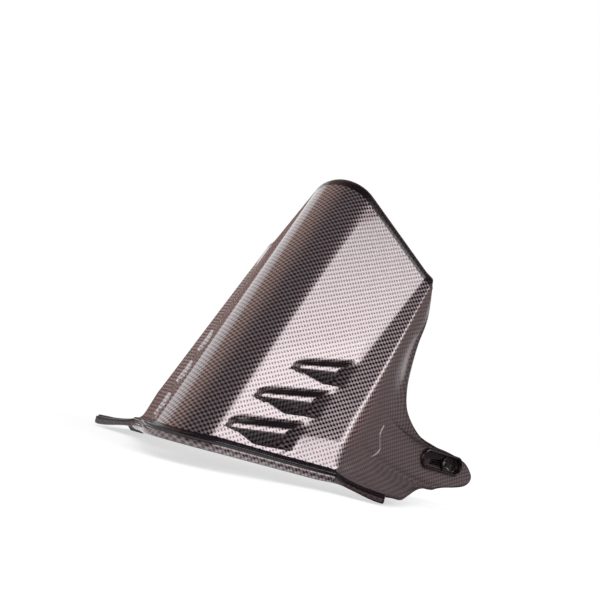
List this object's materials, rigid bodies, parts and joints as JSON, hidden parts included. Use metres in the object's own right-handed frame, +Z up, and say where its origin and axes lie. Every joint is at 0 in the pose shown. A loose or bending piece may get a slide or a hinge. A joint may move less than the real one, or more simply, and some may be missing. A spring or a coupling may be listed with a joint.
{
  "type": "motorcycle rear hugger mudguard",
  "caption": "Moulded rear tyre hugger with a rounded ridge, louvred flanks, flared skirts and recessed bolt ears.",
  "frame": {"origin": "bolt hole of the ear on the -Y side, at the floor of its pocket", "axes": "+X to the rear of the motorcycle, +Y across it, +Z up as fitted over the tyre"},
  "size_m": [0.4295, 0.335, 0.3035],
  "materials": {
    "shell": "gloss lacquer over a fine carbon weave print"
  },
  "bodies": {
    "root": {"mudguard_shell": "shell"}
  },
  "joints": []
}
